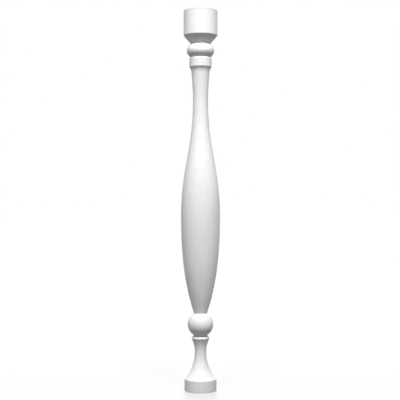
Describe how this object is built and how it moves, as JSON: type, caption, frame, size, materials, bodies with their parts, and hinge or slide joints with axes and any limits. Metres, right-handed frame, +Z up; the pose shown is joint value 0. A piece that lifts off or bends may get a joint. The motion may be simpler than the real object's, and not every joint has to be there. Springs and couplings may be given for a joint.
{
  "type": "stone baluster",
  "caption": "Slender turned stone baluster: drum base, trumpet foot, ball, long swelling shaft, collar, bead and drum cap. Stands upright and carries a handrail.",
  "frame": {"origin": "middle of the underside, on the axis of turning", "axes": "+Z up the axis of turning, from the base drum to the cap; the part is round, so X and Y may point any way"},
  "size_m": [0.0928, 0.0928, 0.9],
  "materials": {
    "stone": "white fine-grained stone, rubbed smooth, satin"
  },
  "bodies": {
    "root": {"baluster": "stone"}
  },
  "joints": []
}
